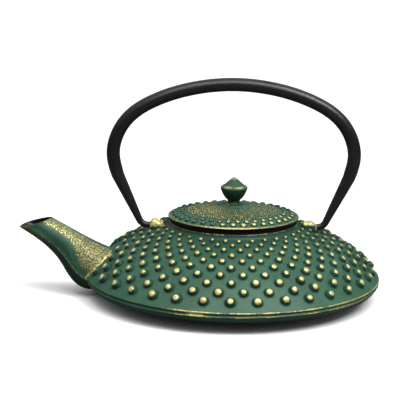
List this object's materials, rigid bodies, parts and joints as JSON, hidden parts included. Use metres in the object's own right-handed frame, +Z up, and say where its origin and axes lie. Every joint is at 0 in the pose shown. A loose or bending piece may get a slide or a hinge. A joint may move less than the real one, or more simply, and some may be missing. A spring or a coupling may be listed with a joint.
{
  "type": "cast iron teapot",
  "caption": "Low, wide cast iron teapot with a studded shoulder, a lift-off lid with a knob, a swinging bail handle and a lift-out mesh infuser.",
  "frame": {"origin": "on the pot's axis, in the plane of the foot ring it stands on", "axes": "+Z up along the pot's axis; the spout points along -X; the line the handle swings about is parallel to X"},
  "size_m": [0.2345, 0.1904, 0.1445],
  "materials": {
    "pot_iron": "dark green lacquer, gold brushed over the studs, ears, rim and spout, black enamel inside",
    "lid_iron": "dark green lacquer with gold brushed over the raised grain, black enamel underneath",
    "knob_iron": "dark green lacquer with a gold brow and tip",
    "rivet_steel": "plain steel, headed cold",
    "handle_black": "satin black",
    "infuser_steel": "pressed stainless sheet",
    "infuser_mesh": "fine woven stainless mesh"
  },
  "bodies": {
    "pot": {"pot_body": "pot_iron"},
    "bail": {"handle": "handle_black"},
    "infuser": {"infuser_rim": "infuser_steel", "infuser_wall_mesh": "infuser_mesh", "infuser_seam_strip": "infuser_steel", "infuser_floor_mesh": "infuser_mesh", "infuser_base_ring": "infuser_steel"},
    "lid_and_knob": {"lid": "lid_iron", "knob": "knob_iron", "knob_rivet": "rivet_steel"}
  },
  "joints": [
    {"name": "handle_swing", "type": "hinge", "parent": "pot", "child": "bail", "pos_m": [0, 0, 0.047], "axis": [1, 0, 0], "range_deg": [-100, 100]},
    {"name": "infuser_lift", "type": "slide", "parent": "pot", "child": "infuser", "axis": [0, 0, 1], "range_m": [0, 0.05]},
    {"name": "lid_lift", "type": "slide", "parent": "infuser", "child": "lid_and_knob", "axis": [0, 0, 1], "range_m": [0, 0.05]}
  ]
}
